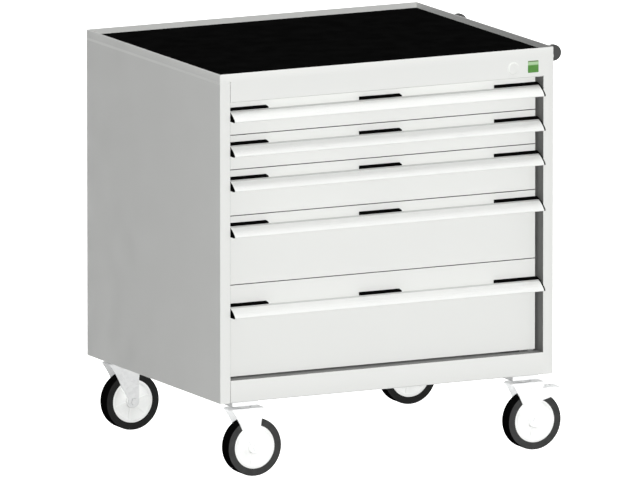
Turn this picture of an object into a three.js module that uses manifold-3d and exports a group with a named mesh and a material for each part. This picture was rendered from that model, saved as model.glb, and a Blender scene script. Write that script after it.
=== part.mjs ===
// A mobile drawer cabinet: a sheet-steel housing with a tray top, five full-width drawers on
// telescopic runners, a push bar on its right side and four swivel castors, two of them braked.
// Millimetres, +Z up, the front of the cabinet faces -Y and its right side faces +X.
import * as THREE from 'three';
import { mergeVertices } from 'three/addons/utils/BufferGeometryUtils.js';
import Module from 'manifold-3d';

const wasm = await Module();
wasm.setup();

// ---- driving dimensions: housing ----
const WIDTH = 800;
const DEPTH = 650;
const CASTOR_HEIGHT = 166;
const BODY_HEIGHT = 714.6;
const SHEET = 1.5;
const GAP = 0.3;
const POST_WIDTH = 25;
const POST_RETURN = 45;
const REAR_FLANGE = 20;
const TOP_FLANGE = 16;
const TRAY_LIP = 17.5;
const TRAY_RECESS = 12.4;
const TRAY_FLOOR = 1.2;
const TOP_RAIL_DEPTH = 22;
const BOTTOM_RAIL_HEIGHT = 49;
const BOTTOM_RAIL_DEPTH = 29;

// ---- driving dimensions: drawers and runners ----
const DRAWER_HEIGHTS = [75, 75, 100, 150, 200];
const STACK_DROP = 63.4;
const DRAWER_RECESS = 28;
const DRAWER_SIDE_GAP = 4.9;
const DRAWER_LINE_GAP = 1;
const FRONT_PAN_DEPTH = 14;
const BOX_HALF_WIDTH = 352;
const BOX_REAR = 264;
const BOX_WALL = 1.2;
const BOX_TOP_DROP = 16;
const BOX_BOTTOM_RISE = 6;
const RUNNER_RISE = 26;
const RUNNER_FRONT = -283;
const RUNNER_REAR = 262;
const FIXED_RAIL = { inner: 360.5, outer: 372, half: 17 };
const MID_RAIL = { inner: 357, outer: 369, half: 14.2, rear: 248 };
const DRAWER_RAIL = { outer: 365.5, half: 10 };
const UPRIGHT_STARTS = [-262, 212];
const UPRIGHT_LENGTH = 40;

// ---- driving dimensions: drawer handles, outward from the drawer front and up from the handle top ----
const HANDLE_DROP = [14.6, 14.6, 14.6, 14.6, 39.9];
const HANDLE_END_GAP = 1.1;
const HANDLE_REACH = 42;
const CAP_THICKNESS = 2.6;
const CLIP_LENGTH = 97;
const RIGHT_CLIP_LENGTH = 104;
const MIDDLE_CLIP_SHIFT = -6.2;
const CLIP_REACH = 13.4;

// ---- driving dimensions: lock and push bar ----
const LOCK = { x: 302.9, drop: 40.1, face: 11, plug: 8.6, hole: 9.2, camHalf: 5, cam: 3 };
const BAR = { offset: 50.4, drop: 32, radius: 10, halfLength: 231 };
const BAR_CAP = { radius: 17.7, thickness: 14, neck: 13.6, length: 28 };
const BAR_FOOT = { half: 14, thickness: 5.7, spread: 8 };

// ---- driving dimensions: castors ----
const CASTOR_X = 337;
const CASTOR_FRONT_Y = -294;
const CASTOR_REAR_Y = 299;
const TRAIL = 26.6;
const WHEEL_RADIUS = 63.2;
const WHEEL_SEGMENTS = 32;
const TYRE_INNER = 47.6;
const TYRE_HALF = 16.5;
const LEG = { inner: 18.5, outer: 21.5, eye: 13 };
const CROWN = { bottom: 145.8, top: 149.2, front: -57, back: 22 };
const HEAD = { halfX: 32, halfY: 24, bottom: 155, race: 31 };
const KING_PIN = 6;
const KING_NUT = 11;
const AXLE = 5;
const AXLE_NUT = 9;
const PEDAL_PIVOT = { x: -6, z: 74, pin: 3, eye: 7 };
const PEDAL = { gap: 0.5, sheet: 2, tip: 64, top: 72 };

const RIGHT = WIDTH / 2;
const FRONT = -DEPTH / 2;
const REAR = DEPTH / 2;
const FLOOR_Z = CASTOR_HEIGHT;
const RIM_Z = CASTOR_HEIGHT + BODY_HEIGHT;
const PANEL_TOP = RIM_Z - TRAY_LIP;
const OPENING = RIGHT - POST_WIDTH;
const STACK_Z = RIM_Z - STACK_DROP;
const DRAWER_FACE = FRONT + DRAWER_RECESS;
const MAT_Z = RIM_Z - TRAY_RECESS;
const UPRIGHT_BOTTOM = FLOOR_Z + 20;
const UPRIGHT_TOP = PANEL_TOP - 14;

// ---- materials ----
const paint = new THREE.MeshStandardMaterial({ color: 0xdcdcd8, roughness: 0.5, metalness: 0.0 });
const mat = new THREE.MeshStandardMaterial({ color: 0x0d0d0c, roughness: 0.9, metalness: 0.0 });
const aluminium = new THREE.MeshStandardMaterial({ color: 0xf0f0ee, roughness: 0.35, metalness: 0.6 });
const blackPlastic = new THREE.MeshStandardMaterial({ color: 0x161616, roughness: 0.6, metalness: 0.0 });
const zinc = new THREE.MeshStandardMaterial({ color: 0xc8cbcc, roughness: 0.4, metalness: 0.8 });
const steel = new THREE.MeshStandardMaterial({ color: 0x9a9c9e, roughness: 0.35, metalness: 0.9 });
const tyreRubber = new THREE.MeshStandardMaterial({ color: 0x222222, roughness: 0.85, metalness: 0.0 });
const wheelPlastic = new THREE.MeshStandardMaterial({ color: 0xe4e4e0, roughness: 0.5, metalness: 0.0 });

// ---- geometry helpers ----
const X_AXIS = new THREE.Vector3(1, 0, 0);
const Y_AXIS = new THREE.Vector3(0, 1, 0);
const Z_AXIS = new THREE.Vector3(0, 0, 1);

function box(x0, x1, y0, y1, z0, z1) {
  const geometry = new THREE.BoxGeometry(x1 - x0, y1 - y0, z1 - z0);
  return geometry.translate((x0 + x1) / 2, (y0 + y1) / 2, (z0 + z1) / 2);
}

function extrude(shape, depth) {
  return new THREE.ExtrudeGeometry(shape, { depth, bevelEnabled: false, curveSegments: 4 });
}

function shapeOf(points) {
  return new THREE.Shape(points.map(([u, v]) => new THREE.Vector2(u, v)));
}

// An outline in y and z, carried along x.
function prismX(shape, x0, x1) {
  const turn = new THREE.Matrix4().makeBasis(Y_AXIS, Z_AXIS, X_AXIS);
  return extrude(shape, x1 - x0).applyMatrix4(turn).translate(x0, 0, 0);
}

// An outline in x and z, carried along y.
function prismY(shape, y0, y1) {
  const turn = new THREE.Matrix4().makeBasis(X_AXIS, Z_AXIS, Y_AXIS.clone().negate());
  return extrude(shape, y1 - y0).applyMatrix4(turn).translate(0, y1, 0);
}

// An outline in x and y, carried along z.
function prismZ(shape, z0, z1) {
  return extrude(shape, z1 - z0).translate(0, 0, z0);
}

function rodY(radius, y0, y1, x, z, sides = 20) {
  return new THREE.CylinderGeometry(radius, radius, y1 - y0, sides).translate(x, (y0 + y1) / 2, z);
}

function rodZ(radius, z0, z1, x = 0, y = 0, sides = 16) {
  const rod = new THREE.CylinderGeometry(radius, radius, z1 - z0, sides).rotateX(Math.PI / 2);
  return rod.translate(x, y, (z0 + z1) / 2);
}

// A ring about the y axis, from the front half of its section (radius, y), mirrored to the back.
// Half a step of turn puts a flat of the ring at the bottom.
function ringY(front, x, z) {
  const back = front.map(([r, y]) => [r, -y]).reverse();
  const points = [...front, ...back, front[0]].map(([r, y]) => new THREE.Vector2(r, y));
  const ring = new THREE.LatheGeometry(points, WHEEL_SEGMENTS, Math.PI / WHEEL_SEGMENTS);
  return ring.translate(x, 0, z);
}

function solid(geometry) {
  const bare = geometry.clone();
  bare.deleteAttribute('normal');
  bare.deleteAttribute('uv');
  const merged = mergeVertices(bare, 1e-4);
  const vertProperties = new Float32Array(merged.attributes.position.array);
  const triVerts = new Uint32Array(merged.index.array);
  return new wasm.Manifold(new wasm.Mesh({ numProp: 3, vertProperties, triVerts }));
}

function geometryOf(manifold) {
  const { vertProperties, triVerts } = manifold.getMesh();
  const geometry = new THREE.BufferGeometry();
  geometry.setAttribute('position', new THREE.BufferAttribute(vertProperties, 3));
  geometry.setIndex(new THREE.BufferAttribute(triVerts, 1));
  geometry.computeVertexNormals();
  return geometry;
}

function join(...pieces) {
  return pieces.map(solid).reduce((whole, piece) => whole.add(piece));
}

function cut(whole, ...holes) {
  return holes.map(solid).reduce((rest, hole) => rest.subtract(hole), whole);
}

function part(name, geometry, material) {
  const mesh = new THREE.Mesh(geometry, material);
  mesh.name = name;
  return mesh;
}

function groupOf(...members) {
  const group = new THREE.Group();
  group.add(...members);
  return group;
}

// ---- housing ----

// One side: a sheet folded round the front post and into a rear flange, with a folded top edge.
function sidePanel(name, side) {
  const outline = [
    [RIGHT, REAR], [RIGHT - REAR_FLANGE, REAR], [RIGHT - REAR_FLANGE, REAR - SHEET],
    [RIGHT - SHEET, REAR - SHEET], [RIGHT - SHEET, FRONT + SHEET], [OPENING + SHEET, FRONT + SHEET],
    [OPENING + SHEET, FRONT + POST_RETURN], [OPENING, FRONT + POST_RETURN], [OPENING, FRONT],
    [RIGHT, FRONT],
  ];
  const wall = prismZ(shapeOf(outline.map(([x, y]) => [side * x, y])), FLOOR_Z, PANEL_TOP);
  const flangeEnds = [side * (RIGHT - TOP_FLANGE), side * (RIGHT - SHEET / 2)].sort((a, b) => a - b);
  const flange = box(...flangeEnds, FRONT + SHEET / 2, REAR - SHEET / 2, PANEL_TOP - SHEET, PANEL_TOP);
  return part(name, geometryOf(join(wall, flange)), paint);
}

function backPanel() {
  const half = RIGHT - SHEET - GAP;
  const outer = REAR - SHEET - GAP;
  const top = PANEL_TOP - SHEET - GAP;
  return part('back_panel', box(-half, half, outer - SHEET, outer, FLOOR_Z + SHEET + GAP, top), paint);
}

// The floor sheet with the box-shaped bottom rail folded up at its front.
function basePan() {
  const half = OPENING - GAP;
  const railTop = FLOOR_Z + BOTTOM_RAIL_HEIGHT;
  const railRear = FRONT + BOTTOM_RAIL_DEPTH;
  const floorHalf = RIGHT - SHEET - GAP;
  const floorFront = FRONT + POST_RETURN + GAP;
  const face = box(-half, half, FRONT, FRONT + SHEET, FLOOR_Z, railTop);
  const shelf = box(-half, half, FRONT, railRear, railTop - SHEET, railTop);
  const web = box(-half, half, railRear - SHEET, railRear, FLOOR_Z, railTop);
  const apron = box(-half, half, FRONT + SHEET / 2, floorFront + SHEET, FLOOR_Z, FLOOR_Z + SHEET);
  const floor = box(-floorHalf, floorHalf, floorFront, REAR - SHEET - GAP, FLOOR_Z, FLOOR_Z + SHEET);
  return part('base_pan', geometryOf(join(face, shelf, web, apron, floor)), paint);
}

// A channel behind the lip of the tray, with the hole for the lock.
function topRail() {
  const half = OPENING - GAP;
  const bottom = STACK_Z + DRAWER_LINE_GAP / 2;
  const top = PANEL_TOP - GAP;
  const rear = FRONT + TOP_RAIL_DEPTH;
  const face = box(-half, half, FRONT, FRONT + SHEET, bottom, top);
  const underside = box(-half, half, FRONT, rear, bottom, bottom + SHEET);
  const shelf = box(-half, half, FRONT, rear, top - SHEET, top);
  const hole = rodY(LOCK.hole, FRONT - 1, FRONT + SHEET + 1, LOCK.x, RIM_Z - LOCK.drop);
  return part('top_rail', geometryOf(cut(join(face, underside, shelf), hole)), paint);
}

function topTray() {
  const wall = RIGHT - SHEET;
  const outer = box(-RIGHT, RIGHT, FRONT, REAR, PANEL_TOP + GAP, RIM_Z);
  const pocket = box(-wall, wall, FRONT + SHEET, REAR - SHEET, PANEL_TOP + GAP + TRAY_FLOOR, RIM_Z + 1);
  return part('top_tray', geometryOf(cut(solid(outer), pocket)), paint);
}

function rubberMat() {
  const half = RIGHT - SHEET - GAP;
  const front = FRONT + SHEET + GAP;
  const bottom = PANEL_TOP + GAP + TRAY_FLOOR + GAP;
  return part('rubber_mat', box(-half, half, front, -front, bottom, MAT_Z), mat);
}

// Two uprights and one fixed runner for each drawer, joined as a rack on one side of the housing.
function runnerRack(name, side) {
  const web = FIXED_RAIL.outer - SHEET / 2;
  const wall = RIGHT - SHEET - GAP;
  const uprights = UPRIGHT_STARTS.map((start) => {
    const end = start + UPRIGHT_LENGTH;
    const outline = [
      [wall, start], [web, start], [web, end], [wall, end], [wall, end - SHEET],
      [web + SHEET, end - SHEET], [web + SHEET, start + SHEET], [wall, start + SHEET],
    ];
    return prismZ(shapeOf(outline.map(([x, y]) => [side * x, y])), UPRIGHT_BOTTOM, UPRIGHT_TOP);
  });
  const rails = drawerTops().map((top, i) => {
    const { inner, outer, half } = FIXED_RAIL;
    const centre = top - DRAWER_HEIGHTS[i] + RUNNER_RISE;
    return prismY(channel(side, inner, outer, half, centre), RUNNER_FRONT, RUNNER_REAR);
  });
  return part(name, geometryOf(join(...uprights, ...rails)), zinc);
}

// A channel outline in x and z, open towards the middle of the cabinet.
function channel(side, inner, outer, half, centre) {
  const outline = [
    [inner, half], [outer, half], [outer, -half], [inner, -half], [inner, SHEET - half],
    [outer - SHEET, SHEET - half], [outer - SHEET, half - SHEET], [inner, half - SHEET],
  ];
  return shapeOf(outline.map(([x, z]) => [side * x, centre + z]));
}

// ---- drawers ----

function drawerTops() {
  return DRAWER_HEIGHTS.map((_, i) => {
    const above = DRAWER_HEIGHTS.slice(0, i).reduce((sum, height) => sum + height, 0);
    return STACK_Z - above;
  });
}

// The drawer's own frame: x and y of the cabinet, z = 0 on the line above its front.
function drawerBox(name, height) {
  const half = OPENING - DRAWER_SIDE_GAP;
  const panBack = DRAWER_FACE + FRONT_PAN_DEPTH;
  const panBottom = DRAWER_LINE_GAP - height;
  const boxBottom = BOX_BOTTOM_RISE - height;
  const front = DRAWER_FACE + SHEET / 2;
  const pan = box(-half, half, DRAWER_FACE, panBack, panBottom, -DRAWER_LINE_GAP);
  const panInside = half - SHEET;
  const hollowTop = -DRAWER_LINE_GAP - SHEET;
  const hollowFront = DRAWER_FACE + SHEET;
  const panHollow = box(-panInside, panInside, hollowFront, panBack + 1, panBottom + SHEET, hollowTop);
  const tub = box(-BOX_HALF_WIDTH, BOX_HALF_WIDTH, front, BOX_REAR, boxBottom, -BOX_TOP_DROP);
  const tubHalf = BOX_HALF_WIDTH - BOX_WALL;
  const tubFloor = boxBottom + BOX_WALL;
  const space = box(-tubHalf, tubHalf, hollowFront, BOX_REAR - BOX_WALL, tubFloor, hollowTop);
  const centre = RUNNER_RISE - height;
  const rails = [-1, 1].map((side) => {
    const ends = [side * tubHalf, side * DRAWER_RAIL.outer].sort((a, b) => a - b);
    const { half: railHalf } = DRAWER_RAIL;
    return box(...ends, RUNNER_FRONT + 1, RUNNER_REAR, centre - railHalf, centre + railHalf);
  });
  const shell = cut(join(pan), panHollow).add(solid(tub));
  const drawer = cut(shell, space).add(join(...rails));
  return part(name, geometryOf(drawer), paint);
}

// A point of the handle's section: outward from the drawer front, up from the handle's top.
function handlePoint(outward, up) {
  return new THREE.Vector2(DRAWER_FACE - outward, up);
}

// A stretch of the crowned line that the grip and its end caps follow.
function crownCurve(start, bend, end) {
  const points = [start, bend, end].map((point) => handlePoint(...point));
  return new THREE.QuadraticBezierCurve(...points).getPoints(7);
}

// Aluminium grip: a crowned strip with a rolled lip, on a web that meets the drawer front.
function handleGrip(name) {
  const outline = [
    ...crownCurve([13.8, -5], [28.6, -10.2], [40.2, -22.6]),
    handlePoint(41.2, -23.8), handlePoint(41.3, -25.6), handlePoint(40.3, -26.6), handlePoint(38.9, -26.2),
    ...crownCurve([38.6, -23.8], [27.8, -12], [15.8, -8]),
    handlePoint(1.8, -14.8), handlePoint(1.8, -24.4), handlePoint(GAP, -24.4), handlePoint(GAP, -12.8),
    handlePoint(12.8, -6.8),
  ];
  const end = OPENING - HANDLE_END_GAP - CAP_THICKNESS - GAP;
  return part(name, prismX(new THREE.Shape(outline), -end, end), aluminium);
}

// Black plastic: two end caps and three clips on one strip that lies in the trough behind the grip.
function handleClips(name) {
  const capOutline = [
    handlePoint(GAP, 0), handlePoint(3, -0.4),
    ...crownCurve([6, -1.4], [29, -8.8], [HANDLE_REACH - 0.4, -22.6]),
    handlePoint(HANDLE_REACH, -24.8), handlePoint(HANDLE_REACH - 1.2, -26.4), handlePoint(GAP, -26.4),
  ];
  const clipOutline = [
    handlePoint(GAP, 0), handlePoint(CLIP_REACH - 1, -2.2), handlePoint(CLIP_REACH, -3.2),
    handlePoint(CLIP_REACH, -4.8), handlePoint(CLIP_REACH - 1, -6.2), handlePoint(GAP, -12.3),
  ];
  const stripOutline = [
    handlePoint(GAP, -9.4), handlePoint(4, -9.4), handlePoint(4, -10.4), handlePoint(GAP, -12.3),
  ];
  const outer = OPENING - HANDLE_END_GAP;
  const capInner = outer - CAP_THICKNESS;
  const clip = new THREE.Shape(clipOutline);
  const cap = new THREE.Shape(capOutline);
  const pieces = [
    prismX(cap, -outer, -capInner),
    prismX(cap, capInner, outer),
    prismX(clip, -outer + 1, CLIP_LENGTH - outer),
    prismX(clip, MIDDLE_CLIP_SHIFT - CLIP_LENGTH / 2, MIDDLE_CLIP_SHIFT + CLIP_LENGTH / 2),
    prismX(clip, outer - RIGHT_CLIP_LENGTH, outer - 1),
    prismX(new THREE.Shape(stripOutline), -outer + 1, outer - 1),
  ];
  return part(name, geometryOf(join(...pieces)), blackPlastic);
}

// The moving middle member of a telescopic runner.
function midRunner(name, side, height) {
  const { inner, outer, half, rear } = MID_RAIL;
  const section = channel(side, inner, outer, half, RUNNER_RISE - height);
  return part(name, prismY(section, RUNNER_FRONT + 1, rear), zinc);
}

function drawer(index, top) {
  const number = index + 1;
  const height = DRAWER_HEIGHTS[index];
  const grip = groupOf(handleGrip(`handle_${number}`), handleClips(`handle_clips_${number}`));
  grip.position.z = -HANDLE_DROP[index];
  const whole = groupOf(
    drawerBox(`drawer_${number}`, height),
    grip,
    midRunner(`runner_left_${number}`, -1, height),
    midRunner(`runner_right_${number}`, 1, height),
  );
  whole.position.z = top;
  return whole;
}

// ---- lock and push bar ----

// The turning lock: a round face, a plug through the rail and a cam behind it.
function lockCylinder() {
  const z = RIM_Z - LOCK.drop;
  const face = rodY(LOCK.face, FRONT - 2.4, FRONT - GAP, LOCK.x, z);
  const plug = rodY(LOCK.plug, FRONT - 1, FRONT + 18, LOCK.x, z);
  const camFront = FRONT + 18 - LOCK.cam;
  const cam = box(LOCK.x - LOCK.camHalf, LOCK.x + LOCK.camHalf, camFront, camFront + LOCK.cam, z - 13, z + 6);
  const keyway = box(LOCK.x - 0.9, LOCK.x + 0.9, FRONT - 4, FRONT + 6, z - 4, z + 4);
  return part('lock_cylinder', geometryOf(cut(join(face, plug, cam), keyway)), steel);
}

function pushTube() {
  const end = BAR.halfLength - BAR_CAP.length / 2;
  return part('push_tube', rodY(BAR.radius, -end, end, RIGHT + BAR.offset, RIM_Z - BAR.drop), paint);
}

// A round cap and a narrower neck over the end of the tube, with an arm to a foot on the side panel.
function pushBracket(name, side) {
  const x = RIGHT + BAR.offset;
  const z = RIM_Z - BAR.drop;
  const outer = BAR.halfLength;
  const inner = outer - BAR_CAP.length;
  const ends = (a, b) => [side * a, side * b].sort((p, q) => p - q);
  const cap = rodY(BAR_CAP.radius, ...ends(outer - BAR_CAP.thickness, outer), x, z, 32);
  const neck = rodY(BAR_CAP.neck, ...ends(inner, outer - 1), x, z, 32);
  const { half, thickness, spread } = BAR_FOOT;
  const foot = RIGHT + GAP;
  const arm = [
    [foot, outer - 2], [foot, inner - spread], [foot + thickness, inner - spread],
    [foot + thickness + spread, inner + 2], [x, inner + 2], [x, outer - 2],
  ];
  const armSolid = prismZ(shapeOf(arm.map(([u, v]) => [u, side * v])), z - half, z + half);
  const socket = rodY(BAR.radius + GAP, ...ends(inner - 1, outer - BAR_CAP.length / 2 + GAP), x, z);
  return part(name, geometryOf(cut(join(cap, neck, armSolid), socket)), blackPlastic);
}

// ---- castors; the castor's own frame has its swivel axis on z and the floor at z = 0 ----

function castorPlate(name) {
  const { halfX, halfY, bottom, race } = HEAD;
  const block = box(-halfX, halfX, -halfY, halfY, bottom, CASTOR_HEIGHT - GAP);
  const ring = box(-race, race, 1 - halfY, halfY - 1, CROWN.top + 0.8, bottom + 1);
  const pin = rodZ(KING_PIN, CROWN.bottom - 4, CROWN.top + 2);
  const nut = rodZ(KING_NUT, CROWN.bottom - 6, CROWN.bottom - 0.8, 0, 0, 6);
  return part(name, geometryOf(join(block, ring, pin, nut)), zinc);
}

// One cheek of the fork: wide under the crown, narrowing to a round eye at the axle.
function forkLeg() {
  const x = TRAIL;
  const z = WHEEL_RADIUS;
  const leg = new THREE.Shape();
  leg.moveTo(x + CROWN.front, CROWN.bottom + 1);
  leg.quadraticCurveTo(x - 43.5, z + 67, x - 32.3, z + 40.7);
  leg.absarc(x, z, LEG.eye, Math.PI * 0.87, Math.PI * 2.02, false);
  leg.lineTo(x + 12.6, z + 47.2);
  leg.lineTo(x + 14.5, z + 62.3);
  leg.lineTo(x + CROWN.back, CROWN.bottom + 1);
  return leg;
}

function castorFork(name, braked) {
  const spans = [[-LEG.outer, -LEG.inner], [LEG.inner, LEG.outer]];
  const legs = spans.map(([y0, y1]) => prismY(forkLeg(), y0, y1));
  const { bottom, top, front, back } = CROWN;
  const crown = box(TRAIL + front, TRAIL + back, -LEG.outer, LEG.outer, bottom, top);
  const holes = [
    rodZ(KING_PIN + 0.6, bottom - 1, top + 1),
    rodY(AXLE + GAP, -LEG.outer - 1, LEG.outer + 1, TRAIL, WHEEL_RADIUS, 16),
  ];
  if (braked) {
    const { x, z, pin } = PEDAL_PIVOT;
    holes.push(rodY(pin + 0.4, -LEG.outer - 1, LEG.outer + 1, TRAIL + x, WHEEL_RADIUS + z, 12));
  }
  return part(name, geometryOf(cut(join(...legs, crown), ...holes)), zinc);
}

function castorAxle(name) {
  const shank = rodY(AXLE, -LEG.outer - 2, LEG.outer + 2, TRAIL, WHEEL_RADIUS, 16);
  const head = rodY(AXLE_NUT, -LEG.outer - 5, -LEG.outer - GAP, TRAIL, WHEEL_RADIUS, 6);
  const nut = rodY(AXLE_NUT, LEG.outer + GAP, LEG.outer + 5, TRAIL, WHEEL_RADIUS, 6);
  return part(name, geometryOf(join(shank, head, nut)), zinc);
}

function castorRim(name) {
  const bore = AXLE + 0.8;
  const outer = TYRE_INNER - GAP;
  const front = [[bore, -17.5], [15, -17.5], [18, -13.5], [outer, -15.4]];
  return part(name, ringY(front, TRAIL, WHEEL_RADIUS), wheelPlastic);
}

function castorTyre(name) {
  const outer = WHEEL_RADIUS / Math.cos(Math.PI / WHEEL_SEGMENTS);
  const front = [[TYRE_INNER, -TYRE_HALF], [outer - 1.4, -TYRE_HALF], [outer, 1.6 - TYRE_HALF]];
  return part(name, ringY(front, TRAIL, WHEEL_RADIUS), tyreRubber);
}

// Two cheeks outside the fork, a tread plate across them, and the pin that they turn on.
function brakePedal(name) {
  const x = TRAIL;
  const z = WHEEL_RADIUS;
  const { x: pivotX, z: pivotZ, pin, eye } = PEDAL_PIVOT;
  const { gap, sheet, tip, top } = PEDAL;
  const cheek = new THREE.Shape();
  cheek.moveTo(x + pivotX, z + pivotZ + eye);
  cheek.absarc(x + pivotX, z + pivotZ, eye, Math.PI / 2, Math.PI * 1.1, false);
  cheek.quadraticCurveTo(x - 4, z + 50, x + 14, z + 44.3);
  cheek.lineTo(x + 34.4, z + 50);
  cheek.lineTo(x + tip - 2, z + top - 9);
  cheek.lineTo(x + tip, z + top - 2);
  cheek.lineTo(x + 20, z + top);
  const inner = LEG.outer + gap;
  const outer = inner + sheet;
  const cheeks = [-1, 1].map((side) => {
    const ends = [side * inner, side * outer].sort((a, b) => a - b);
    return prismY(cheek, ...ends);
  });
  const tread = [[24, top - 2.8], [tip - 0.4, top - 4.6], [tip, top - 2], [24, top - 0.2]];
  const plate = prismY(shapeOf(tread.map(([u, w]) => [x + u, z + w])), -outer, outer);
  const pivot = rodY(pin, 1 - outer, outer - 1, x + pivotX, z + pivotZ, 12);
  return part(name, geometryOf(join(...cheeks, plate, pivot)), zinc);
}

function castor(place, x, y, braked) {
  const pieces = [
    castorPlate(`castor_plate_${place}`),
    castorFork(`fork_${place}`, braked),
    castorAxle(`axle_${place}`),
    castorRim(`rim_${place}`),
    castorTyre(`tyre_${place}`),
  ];
  if (braked) {
    pieces.push(brakePedal(`brake_pedal_${place}`));
  }
  const whole = groupOf(...pieces);
  whole.position.set(x, y, 0);
  return whole;
}

// ---- assembly ----

const cabinet = groupOf(
  sidePanel('side_panel_left', -1),
  sidePanel('side_panel_right', 1),
  backPanel(),
  basePan(),
  topRail(),
  topTray(),
  rubberMat(),
  runnerRack('runner_rack_left', -1),
  runnerRack('runner_rack_right', 1),
  ...drawerTops().map((top, index) => drawer(index, top)),
  lockCylinder(),
  pushTube(),
  pushBracket('push_bracket_front', -1),
  pushBracket('push_bracket_rear', 1),
  castor('front_left', -CASTOR_X, CASTOR_FRONT_Y, false),
  castor('rear_left', -CASTOR_X, CASTOR_REAR_Y, false),
  castor('front_right', CASTOR_X, CASTOR_FRONT_Y, true),
  castor('rear_right', CASTOR_X, CASTOR_REAR_Y, true),
);

// The origin is on the floor under the middle of the whole object's box: the push bar widens
// the box to the right, and the handles deepen it to the front.
const RIGHT_REACH = RIGHT + BAR.offset + BAR_CAP.radius;
const FRONT_REACH = HANDLE_REACH - DRAWER_FACE;
cabinet.position.set((RIGHT - RIGHT_REACH) / 2, (FRONT_REACH - REAR) / 2, 0);

export default groupOf(cabinet);
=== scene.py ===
"""The looks of a mobile drawer cabinet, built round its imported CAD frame.

Shapes are written in millimetres in the cabinet's own frame: x = y = 0 in the middle of the
housing, z = 0 on the floor, the drawers face -y and the push bar is on the +x side. The main
sizes are read from the boxes of the CAD nodes.
"""

import math

import bmesh
import bpy
from mathutils import Matrix, Vector


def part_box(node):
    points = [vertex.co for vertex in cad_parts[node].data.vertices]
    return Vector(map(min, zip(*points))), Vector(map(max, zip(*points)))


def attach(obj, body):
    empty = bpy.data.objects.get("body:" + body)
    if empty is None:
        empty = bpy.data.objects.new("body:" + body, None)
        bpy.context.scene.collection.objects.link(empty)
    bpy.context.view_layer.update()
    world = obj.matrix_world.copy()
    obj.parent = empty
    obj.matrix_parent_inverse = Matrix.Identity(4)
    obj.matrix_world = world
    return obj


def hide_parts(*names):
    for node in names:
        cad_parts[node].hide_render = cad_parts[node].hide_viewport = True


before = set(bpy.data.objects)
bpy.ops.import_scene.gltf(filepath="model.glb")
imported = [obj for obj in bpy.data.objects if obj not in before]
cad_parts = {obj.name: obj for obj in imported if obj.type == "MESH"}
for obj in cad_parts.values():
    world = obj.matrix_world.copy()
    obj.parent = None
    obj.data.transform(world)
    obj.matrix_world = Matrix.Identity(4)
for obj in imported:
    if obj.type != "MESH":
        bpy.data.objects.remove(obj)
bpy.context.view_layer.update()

MM = 0.001
tray_low, tray_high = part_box("top_tray")
HOUSING = Vector(((tray_low.x + tray_high.x) / 2, (tray_low.y + tray_high.y) / 2, 0.0))


def node_box(name):
    """The low and high corners of a CAD node, in the cabinet's millimetres."""
    low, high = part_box(name)
    return (low - HOUSING) / MM, (high - HOUSING) / MM


# ---- housing
SHEET = 1.5
POST_BEND = 2.0
HALF_WIDTH, HALF_DEPTH, RIM_TOP = node_box("top_tray")[1]
LIP_BOTTOM = node_box("top_tray")[0].z
PANEL_TOP = node_box("side_panel_right")[1].z
BODY_BOTTOM = node_box("side_panel_right")[0].z
OPENING = node_box("side_panel_right")[0].x
RAIL_TOP = node_box("base_pan")[1].z
FRONT = -HALF_DEPTH

# ---- badge
BADGE_CENTRE = (350.5, RIM_TOP - 39.6)
BADGE_HALF = (12.7, 12.9)
BADGE_GREEN_TOP = BADGE_CENTRE[1] + 3.7
BADGE_LINE_BOTTOM = BADGE_CENTRE[1] + BADGE_HALF[1] - 2.4

# ---- drawers and handles: a front ends in a fold at its top, behind which the tub's walls are
# lower by TUB_DROP, and a handle ends in two caps
DRAWERS = (1, 2, 3, 4, 5)
DRAWER_FACE = node_box("drawer_1")[0].y
FOLD_REAR = DRAWER_FACE + 13.5
TUB_HALF = 351.4
TUB_DROP = 16.4
HANDLE_HALF = node_box("handle_clips_1")[1].x
HANDLE_REACH = DRAWER_FACE - node_box("handle_clips_1")[0].y
CAP_WIDTH = 2.6
CLIP_SPANS = ((CAP_WIDTH - HANDLE_HALF, -276.9), (-54.7, 42.3), (269.9, HANDLE_HALF - CAP_WIDTH))

# ---- push bar
TUBE_RADIUS = 10
BAR_CAP_RADIUS = 17.7
BAR_NECK_RADIUS = 13.6
BAR_CAP_DEPTH = 14
BAR_END_DEPTH = 28

# ---- castors: heights above the floor, and distances from the wheel's middle plane and axis
BRAKED = {"front_left": False, "rear_left": False, "front_right": True, "rear_right": True}
WHEEL_RADIUS = node_box("tyre_front_left")[1].z / 2
TYRE_INNER = 47.6
TYRE_HALF = 16.5
CROWN_BOTTOM = 145.8
CROWN_TOP = 149.2
CROWN_SPAN = (-57, 22)
FORK_INNER = 18.5
FORK_OUTER = 21.5
EYE_RADIUS = 13

# ---- light: how strongly the white surround lights what it surrounds
SURROUND_LIGHT = 0.20


# ---------------------------------------------------------------- camera and light

def make_camera():
    """A long lens from the front left, a little above the top of the cabinet."""
    azimuth = math.radians(-26.64)
    elevation = math.radians(10.21)
    distance = 44.73
    target = HOUSING + Vector((1.3, 0, 438.3)) * MM
    level = math.cos(elevation)
    back = Vector((math.sin(azimuth) * level, -math.cos(azimuth) * level, math.sin(elevation)))
    data = bpy.data.cameras.new("camera")
    data.sensor_width = 36
    data.lens = 1166.2
    data.clip_start = 1
    data.clip_end = 200
    camera = bpy.data.objects.new("camera", data)
    camera.location = target + back * distance
    camera.rotation_mode = "QUATERNION"
    camera.rotation_quaternion = (-back).to_track_quat("-Z", "Y")
    bpy.context.scene.collection.objects.link(camera)
    bpy.context.scene.camera = camera


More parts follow.
